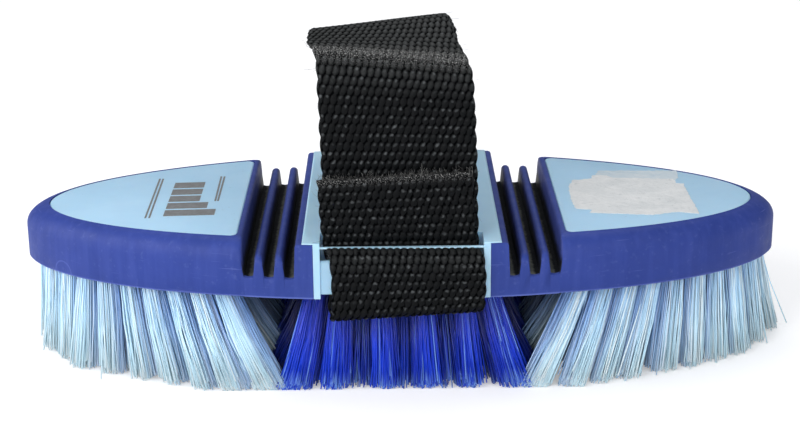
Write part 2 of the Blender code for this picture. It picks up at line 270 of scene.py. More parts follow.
# Painted shade on the tufts' flanks facing the middle and on deep tufts
flank_shade_start = 0.10
flank_shade_fade = 0.45
depth_shade_fade = 0.42
lean_start_share = 0.45
left_tip_flare = 0.0004
right_tip_flare = 0.0045
inner_lean_share = 0.615
deep_lean_gain = 1.35
centre_flare_share = 0.35
centre_deep_flare_share = 0.60
centre_tip_lead = 0.0024

# Torn label and printed strokes on the end plates. A stroke has a start, an end and a breadth.
label_corners = (
    (0.0451, 0.0050), (0.0468, 0.0106), (0.0522, 0.0121), (0.0526, 0.0152), (0.0565, 0.0150),
    (0.0580, 0.0128), (0.0746, 0.0122), (0.0746, 0.0084), (0.0764, 0.0080), (0.0765, -0.0171),
    (0.0716, -0.0155), (0.0644, -0.0181), (0.0567, -0.0174), (0.0485, -0.0168), (0.0491, -0.0142),
    (0.0452, -0.0135), (0.0447, -0.0074),
)
residue_corners = (
    (0.0530, 0.0135), (0.0548, 0.0194), (0.0765, 0.0200), (0.0761, 0.0136), (0.0746, 0.0110),
    (0.0600, 0.0115),
)
label_tear = 0.00022
label_tear_pitch = 0.0007
label_thickness = 0.00009
residue_thickness = 0.00004
print_thickness = 0.00002
line_breadth = 0.0005
bar_breadth = 0.0048
bar_start = -0.0612
print_strokes = (
    ((-0.0656, -0.0164), (-0.0659, 0.0169), line_breadth),
    ((-0.0646, -0.0164), (-0.0650, 0.0168), line_breadth),
    ((-0.0488, -0.0039), (-0.0491, 0.0175), line_breadth),
    ((-0.0481, -0.0039), (-0.0482, 0.0174), line_breadth),
    ((bar_start, -0.0128), (-0.0480, -0.0128), bar_breadth),
    ((bar_start, -0.0070), (-0.0505, -0.0070), bar_breadth),
    ((bar_start, -0.0012), (-0.0530, -0.0012), bar_breadth),
    ((bar_start, 0.0046), (-0.0530, 0.0046), bar_breadth),
    ((bar_start, 0.0104), (-0.0530, 0.0104), bar_breadth),
)

# Seeds of the random draws
filament_seeds = {"left": 11, "right": 12, "centre": 13}
edge_seed = 7
fibre_seed = 21
label_seed = 5
residue_seed = 6

# The CAD gives the heights and the lengthwise places
block_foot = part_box("centre_core")[0].z
plate_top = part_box("left_collar")[1].z
rim_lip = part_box("left_rim")[1].z
half_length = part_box("right_rim")[1].x
half_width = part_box("centre_core")[1].y
slice_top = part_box("centre_bristles")[1].z
core_foot = slice_top + fit_gap
plate_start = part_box("right_core")[0].x
plate_tip = half_length - tip_rim_width
tuft_tip = half_length - tuft_tip_inset
tuft_side = half_width - tuft_side_inset
first_tuft = plate_start + tuft_margin
bellows_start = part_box("right_collar")[1].x
collar_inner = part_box("right_collar")[0].x
bellows_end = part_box("right_rim")[0].x
rib_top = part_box("right_inner_rib")[1].z
centre_core_half = collar_inner - fit_gap
centre_plate_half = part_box("centre_core")[1].x
groove_floor = block_foot + groove_floor_height
bellows_span = plate_start - centre_core_half
slot_inner_edge = half_width - slot_depth
centre_tuft_reach = slot_inner_edge - centre_hole_radius
rim_bar_top = plate_top - rim_bar_drop
window_top = rim_bar_top - rim_bar_thickness
strap_bar_top = window_top - window_height


# Materials
PLASTIC_TONES = ((0.352, 0.568, 0.755), (0.388, 0.605, 0.788))
RUBBER_TONES = ((0.0138, 0.0338, 0.206), (0.0180, 0.0410, 0.240))
WALL_TONES = ((0.0240, 0.0380, 0.172), (0.0300, 0.0460, 0.200))
# Painted shade deep in the grooves
GROOVE_SHADE_TONE = (0.006, 0.007, 0.011)
# Lighter tone of the mould's round mark, also used for the painted highlight on the mould's line at the foot
MOULD_MARK_AND_HIGHLIGHT_TONE = (0.13, 0.18, 0.52)
YARN_TONES = ((0.0011, 0.0017, 0.0022), (0.0025, 0.0028, 0.0034))
YARN_FIBRE_TONE = (0.0058, 0.0069, 0.0078)
# Painted highlight of the yarns' upper ends
YARN_GLINT_TONE = (0.0850, 0.0920, 0.0960)
# Painted shade in the gaps between yarns
YARN_GAP_SHADE_TONE = (0.0008, 0.0010, 0.0012)
# Lint tone, also the painted top light on the strap's top face
LINT_AND_LIGHT_TONE = (0.0500, 0.0530, 0.0530)


class Paint:
    """Node tree of one material. Its colour and its normal are built up step by step."""

    def __init__(self, name, uv_map=None):
        self.material = bpy.data.materials.new(name)
        self.material.use_nodes = True
        self.tree = self.material.node_tree
        self.tree.nodes.clear()
        if uv_map:
            self.coords = self.add("UVMap", uv_map=uv_map).outputs["UV"]
        else:
            self.coords = self.add("TexCoord").outputs["Object"]
        self.colour = None
        self.normal = None

    def add(self, kind, inputs=None, **settings):
        """New node. Each input named is linked to a socket or set to a constant."""
        node = self.tree.nodes.new("ShaderNode" + kind)
        for key, value in settings.items():
            setattr(node, key, value)
        for key, value in (inputs or {}).items():
            socket = node.inputs[key]
            if isinstance(value, bpy.types.NodeSocket):
                self.tree.links.new(value, socket)
            elif value is not None:
                socket.default_value = (*value, 1) if socket.type == "RGBA" else value
        return node

    def calculate(self, operation, *values):
        return self.add("Math", dict(enumerate(values)), operation=operation).outputs[0]

    def times(self, first, second):
        return self.calculate("MULTIPLY", first, second)

    def remap(self, value, low, high, to_low=0, to_high=1):
        inputs = {"Value": value, "From Min": low, "From Max": high, "To Min": to_low, "To Max": to_high}
        return self.add("MapRange", inputs).outputs["Result"]

    def noise(self, scale, detail, *ranges, coords=None, roughness=0.55, distortion=0):
        """Noise, remapped where ranges are given."""
        inputs = {"Vector": coords or self.coords, "Scale": scale, "Detail": detail, "Roughness": roughness,
                  "Distortion": distortion}
        value = self.add("TexNoise", inputs).outputs["Fac"]
        return self.remap(value, *ranges) if ranges else value

    def stretched(self, scale, turn):
        inputs = {"Vector": self.coords, "Scale": scale, "Rotation": turn}
        return self.add("Mapping", inputs).outputs[0]

    def streaks(self, scale, turn, low, high, strength):
        """Thin marks drawn out along one direction."""
        return self.noise(1, 3, low, high, 0, strength, coords=self.stretched(scale, turn))

    def place(self, axis):
        return self.add("SeparateXYZ", {0: self.coords}).outputs[axis]

    def attribute(self, name):
        """The four channels of a colour attribute."""
        node = self.add("Attribute", attribute_name=name)
        split = self.add("SeparateColor", {0: node.outputs["Color"]})
        return (*split.outputs, node.outputs["Alpha"])

    def start(self, share, first, second):
        """Colour that goes from the first tone to the second."""
        mixed = self.add("Mix", {"Factor": share, 6: first, 7: second}, data_type="RGBA")
        self.colour = mixed.outputs[2]

    def tint(self, share, tone):
        self.start(share, self.colour, tone)

    def bump(self, height, strength, distance):
        inputs = {"Height": height, "Strength": strength, "Distance": distance, "Normal": self.normal}
        self.normal = self.add("Bump", inputs).outputs["Normal"]

    def output(self, surface):
        self.add("OutputMaterial", {"Surface": surface})
        return self.material

    def finish(self, roughness, shine=None, **constants):
        """Surface shader with the colour and the normal built up so far."""
        inputs = {"Base Color": self.colour, "Roughness": roughness, "Normal": self.normal,
                  "Specular IOR Level": shine}
        inputs.update((name.replace("_", " "), value) for name, value in constants.items())
        return self.output(self.add("BsdfPrincipled", inputs).outputs[0])


def plastic_material():
    """Satin light blue moulding: fine grain, cloudy tone, faint handling scratches, dust."""
    paint = Paint("light_blue_plastic")
    paint.start(paint.noise(55, 5, 0.35, 0.65), *PLASTIC_TONES)
    paint.tint(paint.noise(900, 2, 0.70, 0.76, 0, 0.30), (0.20, 0.30, 0.38))
    scratch = paint.streaks((40, 1400, 40), (0, 0, 0.5), 0.66, 0.72, 1)
    paint.tint(paint.times(scratch, 0.10), (0.62, 0.78, 0.88))
    paint.bump(paint.noise(2600, 3), 0.10, 0.0002)
    paint.bump(scratch, 0.08, 0.00005)
    return paint.finish(paint.noise(160, 4, 0.3, 0.7, 0.40, 0.54), 0.35, Subsurface_Weight=0.25,
                        Subsurface_Scale=0.003, Subsurface_Radius=(0.3, 0.7, 1.0))


def rubber_material(name, tones, groove_shade=None):
    """Satin soft rubber: slow tone changes, fine skin, faint flow streaks and dust, a painted highlight on
    the mould's line at the foot, and the mould's round mark. Inside the grooves a painted shade deepens with
    depth."""
    paint = Paint(name)
    paint.start(paint.noise(70, 5, 0.32, 0.68), *tones)
    paint.tint(paint.noise(700, 3, 0.60, 0.80, 0, 0.14), (0.20, 0.24, 0.48))
    paint.tint(paint.streaks((420, 420, 30), (0, 0, 0), 0.45, 0.75, 0.10), (0.11, 0.15, 0.54))
    paint.tint(paint.streaks((60, 60, 1600), (0.3, 0.5, 0), 0.68, 0.75, 0.22), (0.24, 0.28, 0.60))
    height = paint.place("Z")
    fallen = paint.remap(paint.calculate("ABSOLUTE", paint.place("X")), plate_start, plate_tip, 0, tip_droop)
    level = paint.calculate("ADD", height, fallen)
    # Painted highlight: a lighter line along the foot, on the mould's line
    flash_highlight = paint.remap(level, block_foot + flash_highlight_height, block_foot + flash_highlight_height / 2, 0, 0.5)
    paint.tint(flash_highlight, MOULD_MARK_AND_HIGHLIGHT_TONE)
    apart = paint.add("VectorMath", {0: paint.coords, 1: mould_mark_place}, operation="DISTANCE")
    off_ring = paint.calculate("SUBTRACT", apart.outputs["Value"], mould_mark_radius)
    ring = paint.remap(paint.calculate("ABSOLUTE", off_ring), mould_mark_line * 2, mould_mark_line, 0, 0.22)
    paint.tint(ring, MOULD_MARK_AND_HIGHLIGHT_TONE)
    if groove_shade:
        # Painted shade: the groove walls darken towards the floor, with a ragged edge
        ragged = paint.noise(300, 4, 0.3, 0.7, -0.15, 0.15)
        depth = paint.calculate("ADD", paint.remap(height, rib_top, groove_floor), ragged)
        paint.tint(paint.remap(depth, 0.06, 0.62), groove_shade)
    paint.bump(paint.noise(2200, 3), 0.14, 0.0002)
    paint.bump(paint.noise(140, 3), 0.10, 0.0012)
    return paint.finish(paint.noise(240, 4, 0.3, 0.7, 0.50, 0.64), 0.30)


def floor_rubber_material():
    """Groove floors: dusty charcoal on the side nearest the middle, with a painted shadow in near black on
    the outer side, where the outer wall shades it.
    """
    paint = Paint("groove_floor")
    paint.start(paint.noise(420, 5, 0.35, 0.65), (0.072, 0.077, 0.073), (0.115, 0.121, 0.114))
    across = paint.add("Attribute", attribute_name="across").outputs["Fac"]
    # Painted shadow: near black on the outer part of the floor, where the outer wall shades it
    far = paint.calculate("ADD", across, paint.noise(700, 3, 0.3, 0.7, -0.10, 0.10))
    paint.tint(paint.remap(far, 0.36, 0.62), (0.004, 0.005, 0.008))
    paint.bump(paint.noise(1800, 4), 0.35, 0.0003)
    return paint.finish(paint.noise(600, 3, 0.3, 0.7, 0.78, 0.92), 0.15)


def bristle_material(name, shaded_root_tone, lit_tip_tone, glint_tone, flank_shade_tone, deep_shade_tone, roughness, glint_low):
    """Nylon filaments. The attribute holds a random share, the place along, how far a filament is
    on its tuft's shaded flank, and how deep in the field its tuft stands. Shade is painted at the roots, on
    the shaded flank and on deep tufts; highlights are painted on random filaments and at the cut tips, and
    the paler tips stand in for light."""
    paint = Paint(name)
    chance, along, flank, depth = paint.attribute("filament")
    # Painted shade at the roots, under the block, going to paler tips that stand in for light
    paint.start(along, shaded_root_tone, lit_tip_tone)
    # Painted highlights at the cut tips and on random filaments
    paint.tint(paint.times(paint.remap(along, 0.88, 1, 0, 0.9), paint.remap(chance, 0.2, 0.8)), glint_tone)
    paint.tint(paint.remap(chance, glint_low, 1), glint_tone)
    # Painted shade on each tuft's flank facing the middle, and on deep tufts
    paint.tint(paint.times(flank, 0.9), flank_shade_tone)
    paint.tint(paint.times(depth, 0.97), deep_shade_tone)
    paint.bump(paint.noise(900, 2), 0.15, 0.0001)
    return paint.finish(paint.remap(chance, 0, 1, roughness + 0.15, roughness), 0.4, IOR=1.53)


def yarn_cells(paint, rising):
    """The weave's cells from UVs in millimetres: how far a point is from the middle of its yarn,
    the glint near the yarn's upper end, and a random number for each yarn."""
    waver = paint.noise(0.9, 3, 0.2, 0.8, -0.36, 0.36)
    along = paint.calculate("ADD", paint.place("Y"), waver)
    along = paint.calculate("DIVIDE", along, weft_pitch * millimetres)
    row = paint.calculate("ROUND", along)
    off_along = paint.calculate("SUBTRACT", along, row)
    across = paint.calculate("ADD", paint.place("X"), waver)
    across = paint.calculate("DIVIDE", across, warp_pitch * millimetres)
    across = paint.calculate("SUBTRACT", across, paint.calculate("PINGPONG", row, 1))
    across = paint.calculate("DIVIDE", across, 2)
    yarn = paint.calculate("ROUND", across)
    off_across = paint.calculate("SUBTRACT", across, yarn)
    upward = paint.times(off_along, paint.calculate("MULTIPLY_ADD", rising, 2, -1))
    off_across = paint.calculate("MULTIPLY_ADD", upward, -yarn_slant, off_across)
    wide = paint.calculate("POWER", paint.calculate("DIVIDE", off_across, 0.42), 2)
    long = paint.calculate("POWER", paint.calculate("DIVIDE", off_along, 0.52), 2)
    away = paint.calculate("ADD", wide, long)
    high = paint.calculate("DIVIDE", paint.calculate("SUBTRACT", upward, 0.26), 0.20)
    spot = paint.calculate("ADD", paint.calculate("POWER", high, 2), paint.times(wide, 2.2))
    cell = paint.add("CombineXYZ", {"X": row, "Y": yarn}).outputs[0]
    chance = paint.add("TexWhiteNoise", {"Vector": cell}, noise_dimensions="2D").outputs["Value"]
    return away, paint.remap(spot, 1, 0), chance


def webbing_material():
    """Black woven webbing. UVs are millimetres across and along the strap. The attribute holds the
    wear, the lint with painted top light on the top face and which way along the strap is up. The gaps
    between yarns get painted shade, and the yarns' upper ends and the worn fuzz get painted highlights."""
    paint = Paint("black_webbing", "weave")
    wear, lint_and_light, rising = paint.attribute("webbing")[:3]
    away, spot, chance = yarn_cells(paint, rising)
    fibre = paint.noise(1, 3, coords=paint.stretched((11.0, 1.6, 1), (0, 0, 0.35)), roughness=0.6)
    cloud = paint.noise(0.30, 3)
    paint.start(paint.remap(cloud, 0.35, 0.65), *YARN_TONES)
    paint.tint(paint.remap(fibre, 0.48, 0.74, 0, 0.7), YARN_FIBRE_TONE)
    # Lint with painted top light on the top face: lighter yarn middles, darker yarn borders
    top_light_share = paint.times(lint_and_light, paint.remap(fibre, 0.3, 0.6, 0.3, 1))
    paint.tint(paint.times(top_light_share, paint.remap(away, 0.1, 0.9, 1, 0.2)), LINT_AND_LIGHT_TONE)
    # Painted highlight near each yarn's upper end
    bright = paint.times(spot, paint.remap(chance, 0.15, 1))
    paint.tint(paint.times(bright, paint.remap(cloud, 0.35, 0.65, 0.35, 1)), YARN_GLINT_TONE)
    # Painted shade in the gaps between yarns
    gap = paint.remap(away, 0.90, 1.65)
    paint.tint(gap, YARN_GAP_SHADE_TONE)
    fuzz = paint.noise(3.6, 2, roughness=0.7)
    paint.tint(paint.times(wear, paint.remap(fuzz, 0.40, 0.60)), (0.024, 0.024, 0.024))
    # Painted glints: bright specks on the worn fuzz of the crest and the cut ends
    paint.tint(paint.times(wear, paint.remap(fuzz, 0.57, 0.62)), (0.56, 0.56, 0.55))
    paint.bump(away, 0.35, -0.00014)
    paint.bump(fibre, 0.8, 0.00014)
    return paint.finish(paint.remap(fibre, 0.3, 0.7, 0.42, 0.62), paint.remap(gap, 0, 1, 0.09, 0))


def fibre_material():
    """Loose black fibres, some of them worn pale."""
    paint = Paint("loose_fibre")
    worn = paint.noise(900, 2, 0.45, 0.62)
    paint.start(worn, (0.016, 0.016, 0.017), (0.22, 0.22, 0.21))
    paint.bump(paint.noise(3000, 2), 0.3, 0.00004)
    return paint.finish(paint.remap(worn, 0, 1, 0.55, 0.35))


def paper_material():
    """Bare torn label stock with smudges and creases."""
    paint = Paint("label_paper")
    cloud = paint.noise(160, 5, 0.35, 0.65, roughness=0.6, distortion=0.6)
    paint.start(cloud, (0.62, 0.64, 0.65), (0.71, 0.72, 0.725))
    smudge = paint.noise(420, 4, 0.56, 0.70, 0, 0.5, roughness=0.7, distortion=1.5)
    paint.tint(smudge, (0.38, 0.41, 0.43))
    paint.bump(paint.noise(420, 5), 0.5, 0.0005)
    return paint.finish(paint.noise(500, 3, 0.3, 0.7, 0.66, 0.84))


def residue_material():
    """Thin grey film of glue left beside the label."""
    paint = Paint("glue_residue")
    cloud = paint.noise(260, 5, 0.35, 0.65, roughness=0.6, distortion=0.8)
    paint.start(cloud, (0.47, 0.57, 0.64), (0.57, 0.63, 0.67))
    paint.bump(paint.noise(500, 4), 0.4, 0.0004)
    return paint.finish(paint.noise(350, 3, 0.3, 0.7, 0.45, 0.70))


def print_material():
    """Worn grey ink."""
    paint = Paint("grey_ink")
    worn = paint.noise(900, 4, 0.40, 0.66)
    paint.start(worn, (0.128, 0.128, 0.130), (0.182, 0.190, 0.198))
    paint.bump(paint.noise(1600, 3), 0.3, 0.0001)
    return paint.finish(paint.remap(worn, 0, 1, 0.48, 0.62))


def floor_material():
    """Pale floor: white to the camera, and it still takes the brush's shadow."""
    paint = Paint("floor")
    path = paint.add("LightPath").outputs
    paint.start(paint.noise(3, 2), (0.79, 0.79, 0.80), (0.81, 0.81, 0.82))
    diffuse = paint.add("BsdfDiffuse", {"Color": paint.colour})
    seen = paint.calculate("MAXIMUM", path["Is Camera Ray"], path["Is Glossy Ray"])
    seen = paint.calculate("MAXIMUM", seen, path["Is Transmission Ray"])
    glow = paint.add("Emission", {"Strength": paint.times(seen, floor_glow)})
    return paint.output(paint.add("AddShader", {0: diffuse.outputs[0], 1: glow.outputs[0]}).outputs[0])


PLASTIC = plastic_material()
RUBBER = rubber_material("blue_rubber", RUBBER_TONES)
WALL = rubber_material("groove_wall", WALL_TONES, GROOVE_SHADE_TONE)
GROOVE = floor_rubber_material()
# Bristle tones: painted root shade, lit tip, painted highlight, painted flank shade and painted deep shade
PALE = bristle_material("pale_bristle", (0.44, 0.70, 0.96), (0.66, 0.90, 1.0), (0.85, 0.96, 1.0),
                        (0.095, 0.250, 0.680), (0.008, 0.018, 0.058), 0.30, 0.45)
ROYAL = bristle_material("blue_bristle", (0.008, 0.026, 0.420), (0.012, 0.058, 0.700), (0.22, 0.42, 0.95),
                         (0.008, 0.020, 0.340), (0.002, 0.004, 0.040), 0.24, 0.90)
WEBBING = webbing_material()
FIBRE = fibre_material()
PAPER = paper_material()
RESIDUE = residue_material()
INK = print_material()


# Mesh helpers
def add_object(name, mesh, material, smooth_degrees=None):
    mesh.materials.append(material)
    mesh.shade_smooth()
    if smooth_degrees:
        mesh.set_sharp_from_angle(angle=math.radians(smooth_degrees))
    made = bpy.data.objects.new(name, mesh)
    bpy.context.scene.collection.objects.link(made)
    return made


def object_of_faces(name, vertices, faces, material):
    mesh = bpy.data.meshes.new(name)
    mesh.from_pydata([tuple(vertex) for vertex in vertices], [], [tuple(face) for face in faces])
    mesh.validate()
    return add_object(name, mesh, material)


def object_from(name, shape, material, smooth_degrees=smooth_below_degrees):
    bmesh.ops.recalc_face_normals(shape, faces=shape.faces)
    mesh = bpy.data.meshes.new(name)
    shape.to_mesh(mesh)
    shape.free()
    return add_object(name, mesh, material, smooth_degrees)


def colour_points(made, name, colours):
    layer = made.data.attributes.new(name, "FLOAT_COLOR", "POINT")
    layer.data.foreach_set("color", colours.astype(np.float32).reshape(-1))


def round_edges(made, segments, degrees):
    rounding = made.modifiers.new("edge_rounding", "BEVEL")
    rounding.width = block_edge_round
    rounding.segments = segments
    rounding.limit_method = "ANGLE"
    rounding.angle_limit = math.radians(degrees)


def loft(loops, ring=False, shape=None):
    """Skin over loops of points, closed by two end faces or round to the first loop again."""
    shape = bmesh.new() if shape is None else shape
    rows = [[shape.verts.new(point) for point in loop] for loop in loops]
    for low, high in zip(rows, rows[1:] + rows[:1] if ring else rows[1:]):
        for index in range(len(low)):
            after = (index + 1) % len(low)
            shape.faces.new((low[index], low[after], high[after], high[index]))
    if not ring:
        shape.faces.new(list(reversed(rows[0])))
        shape.faces.new(rows[-1])
    return shape


def dress(made, body, slot, *nodes):
    """The piece moves with its body and stands for the CAD nodes named."""
    if nodes:
        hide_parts(*nodes)
    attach(made, body)


def blend(start, end, share):
    return start + (end - start) * share


def turns(count, whole=math.pi / 2):
    """Even turns from nothing to a whole one."""
    return [whole * step / (count - 1) for step in range(count)]


# Plans and outlines
def outline_reach(x, half_long, half_wide, long_power, wide_power):
    along = min(abs(x) / half_long, 1)
    return half_wide * (1 - along ** long_power) ** (1 / wide_power)


def body_reach(x):
    return outline_reach(x, half_length, half_width, *rubber_powers)


def droop_at(x):
    """How far an end block has fallen at a distance x from the middle of the brush."""
    return tip_droop * max(x - plate_start, 0) / (plate_tip - plate_start)


def end_plan(side, start_x, plate_share, inset, corner_radius, height):
    """Outline of an end block: of the rubber at plate share 0, of the plate at 1."""
    half_long = half_length - tip_rim_width * plate_share - inset
    half_wide = half_width - side_rim_width * plate_share - inset
    long_power, wide_power = (blend(rubber, plate, plate_share)
                              for rubber, plate in zip(rubber_powers, plate_powers))
    curve_x = start_x + corner_radius
    curve_y = outline_reach(curve_x, half_long, half_wide, long_power, wide_power)
    first_turn = math.acos((curve_x / half_long) ** (long_power / 2))
    front = []
    for step in range(plan_corner_steps):
        angle = math.pi + math.pi / 2 * step / plan_corner_steps
        front.append((curve_x + corner_radius * math.cos(angle),
                      corner_radius - curve_y + corner_radius * math.sin(angle)))
    for step in range(plan_side_steps):
        turn = first_turn * (1 - step / plan_side_steps)
        front.append((half_long * math.cos(turn) ** (2 / long_power),
                      -half_wide * math.sin(turn) ** (2 / wide_power)))
    back = [(x, -y) for x, y in reversed(front)]
    return [Vector((side * x, y, height - droop_at(x))) for x, y in front + [(half_long, 0)] + back]


slot_half = centre_core_half - pillar_width
rim_bar_inner = body_reach(slot_half) - rim_bar_depth
strap_bar_outer = body_reach(slot_half + strap_bar_bedding) - strap_bar_recess
strap_bar_inner = strap_bar_outer - strap_bar_thickness


# Hard blocks
def build_end_block(place, side):
    """End block with a softly rounded plate edge."""
    levels = [(core_foot, 0)]
    for turn in turns(plate_edge_points):
        levels.append((plate_top - plate_edge_round * (1 - math.sin(turn)),
                       plate_edge_round * (1 - math.cos(turn))))
    shape = loft([end_plan(side, plate_start + inset, 1, inset, plate_corner_radius, z)
                  for z, inset in levels])
    made = object_from(place + "_block", shape, PLASTIC, plate_smooth_degrees)
    dress(made, place + "_end", "light_blue_plastic", place + "_core")


def build_centre_block():
    """The CAD centre block with its edges rounded as moulded edges are."""
    shape = bmesh.new()
    shape.from_mesh(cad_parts["centre_core"].data)
    bmesh.ops.remove_doubles(shape, verts=shape.verts, dist=merge_distance)
    bmesh.ops.dissolve_limit(shape, angle_limit=flat_turn, verts=shape.verts, edges=shape.edges)
    made = object_from("centre_block", shape, PLASTIC, block_smooth_degrees)
    round_edges(made, segments=3, degrees=40)
    dress(made, "centre", "light_blue_plastic", "centre_core")


# Rubber
def build_rim(place, side):
    """Rubber round an end block. Its corner beside the bellows is square at the foot, where the
    rubber runs on under the grooves, and round above."""
    outer = [(block_foot, bellows_end, rim_foot_round / tip_rim_width, rim_foot_corner),
             (block_foot + rim_foot_round, bellows_end, 0, rim_foot_corner),
             (groove_floor - rim_foot_round, bellows_end, 0, rim_foot_corner),
             (groove_floor + rim_corner_radius, bellows_end, 0, rim_corner_radius)]
    for turn in turns(rim_shoulder_points, rim_shoulder_turn):
        z = rim_lip - rim_shoulder_depth * (1 - math.sin(turn))
        wall_x = bellows_end + wall_draft * (z - block_foot) / (plate_top - block_foot)
        lip_rise = max(z - (rim_lip - wall_lip_round), 0) / wall_lip_round
        wall_x += wall_lip_round * (1 - math.sqrt(1 - min(lip_rise, 1) ** 2)) * wall_lip_lean
        share = (1 - math.cos(turn)) * shoulder_lip_share / shoulder_turn_reach
        outer.append((z, wall_x, share, rim_corner_radius))
    outer.append((rim_lip, bellows_end + wall_draft + wall_lip_round, rim_top_share, rim_corner_radius))
    loops = [end_plan(side, x, share, 0, radius, z) for z, x, share, radius in outer]
    seat = plate_start - seam_overlap * 2
    loops += [end_plan(side, seat, 1, -seam_overlap * 2, plate_corner_radius, z)
              for z in (rim_lip, block_foot)]
    made = rubber_object(place + "_rubber_rim", loft(loops, ring=True))
    dress(made, place + "_end", "blue_rubber", place + "_rim")


def rubber_object(name, shape):
    """Rubber whose upright walls inside the bellows have the painted shade that deepens with depth."""
    made = object_from(name, shape, RUBBER, rubber_smooth_degrees)
    made.data.materials.append(WALL)
    for face in made.data.polygons:
        x, y, z = face.center
        inside = bellows_start - wall_draft - wall_lip_round < abs(x) < bellows_end + wall_lip_round
        if inside and abs(face.normal.x) > wall_normal_share and z > groove_floor - rim_corner_radius:
            face.material_index = 1
    return made


def shouldered_prism(side, section, hold_z, top_z, depth, run, edge_round=0):
    """Section run across the brush. At both ends the part above a held height bends down in a
    quarter round and its upright edges are rounded; the part below runs straight out."""
    bend = [(run * (1 - math.sin(turn)), 1 - depth * (1 - math.cos(turn)) / (top_z - hold_z))
            for turn in turns(shoulder_points)]
    middle_x = sum(x for x, z in section) / len(section)
    loops = []
    for end, stations in ((-1, bend[::-1]), (1, bend)):
        for inset, height_share in stations:
            close = max(edge_round - inset, 0)
            draw_in = edge_round - math.sqrt(edge_round ** 2 - close ** 2)
            loop = []
            for x, z in section:
                reach = body_reach(x)
                if z > hold_z:
                    reach -= inset
                    z = hold_z + (z - hold_z) * height_share
                    x += math.copysign(min(draw_in, abs(middle_x - x)), middle_x - x)
                loop.append(Vector((side * x, end * reach, z)))
            loops.append(loop)
    shape = loft(loops)
    bmesh.ops.remove_doubles(shape, verts=shape.verts, dist=merge_distance * 2)
    return shape


def node_span(node):
    """Where a CAD node starts and ends along the brush, from the middle."""
    return sorted(abs(corner.x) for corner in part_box(node))


def build_rib(place, side, order):
    low_x, high_x = node_span(place + "_" + order + "_rib")
    top_radius = (high_x - low_x) / 2 - rib_draft
    section = [(low_x, block_foot), (high_x, block_foot), (high_x, groove_floor)]
    for turn in turns(rib_top_points, math.pi):
        section.append(((low_x + high_x) / 2 + top_radius * math.cos(turn),
                        rib_top - top_radius + top_radius * math.sin(turn)))
    section.append((low_x, groove_floor))
    shape = shouldered_prism(side, section, groove_floor, rib_top, rib_shoulder_depth, rib_shoulder_run,
                             rib_edge_round)
    made = rubber_object(place + "_" + order + "_rubber_rib", shape)
    dress(made, place + "_" + order, "blue_rubber", place + "_" + order + "_rib")


def build_web(place, side, order):
    """Floor of a groove."""
    low_x, high_x = node_span(place + "_" + order + "_web")
    low_x -= fit_gap + seam_overlap
    high_x += fit_gap + seam_overlap
    shares = [step / web_steps for step in range(web_steps + 1)]
    section = [(blend(low_x, high_x, share), block_foot) for share in shares]
    section += [(blend(high_x, low_x, share), groove_floor - groove_floor_dip * math.sin(math.pi * share))
                for share in shares]
    hold_z = (block_foot + groove_floor) / 2
    shape = shouldered_prism(side, section, hold_z, groove_floor, groove_end_drop, groove_end_run)
    made = object_from(place + "_" + order + "_groove", shape, RUBBER, rubber_smooth_degrees)
    made.data.materials.append(GROOVE)
    for face in made.data.polygons:
        if face.normal.z > floor_normal_share and abs(face.center.y) < body_reach(face.center.x) / 2:
            face.material_index = 1
    across = [(abs(vertex.co.x) - low_x) / (high_x - low_x) for vertex in made.data.vertices]
    made.data.attributes.new("across", "FLOAT", "POINT").data.foreach_set("value", across)
    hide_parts(place + "_" + order + "_web")
    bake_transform(made)


def build_collar(place, side):
    """Rubber flank of the centre block, run straight across from one outline to the other."""
    seat_x = centre_core_half + seam_overlap
    plate_x = centre_plate_half + seam_overlap
    under_z = plate_top - seam_overlap * 2
    section = [(seat_x, block_foot), (bellows_start, block_foot), (bellows_start, groove_floor)]
    for turn in turns(wall_lip_points):
        section.append((bellows_start - wall_draft - wall_lip_round * (1 - math.cos(turn)),
                        plate_top - wall_lip_round * (1 - math.sin(turn))))
    section += [(plate_x, plate_top), (plate_x, under_z), (seat_x, under_z)]
    shape = loft([[Vector((side * x, end * body_reach(x), z)) for x, z in section] for end in (-1, 1)])
    made = rubber_object(place + "_rubber_collar", shape)
    round_edges(made, segments=2, degrees=60)
    dress(made, "centre", "blue_rubber", place + "_collar")


# Bristles
def end_tip(x, y, depth):
    """Where a tuft of an end block has its tip. Towards the bellows the tufts lean over the gap."""
    middle_x = (first_tuft + tuft_tip) / 2
    along = (abs(x) - middle_x) / (middle_x - first_tuft)
    lean = max(lean_start_share - along, 0) / (1 + lean_start_share)
    flare = max(along - lean_start_share, 0) / (1 - lean_start_share)
    shift = (left_tip_flare if x < 0 else right_tip_flare) * flare ** 2
    shift -= bellows_span * inner_lean_share * lean * blend(1, deep_lean_gain, min(depth * 2, 1))
    spread = end_spread_share + tip_spread_share * flare
    return math.copysign(abs(x) + shift, x), y * (1 + spread)


def centre_tip(x, y, depth):
    """Towards the bellows the tufts lean outwards. The inner rows' tips catch up with the outer row's."""
    share = blend(centre_flare_share, centre_deep_flare_share, min(depth, 1))
    flare = bellows_span * share * abs(x / centre_tuft_places[-1]) ** 3
    tip_y = min(abs(y) * (1 + centre_spread_share) + centre_tip_lead * abs(y) / centre_tuft_reach,
                centre_tuft_reach * (1 + centre_spread_share))
    return x + math.copysign(flare, x), math.copysign(tip_y, y)


def tuft_outline_reach(x):
    return outline_reach(x, tuft_tip, tuft_side, *rubber_powers)


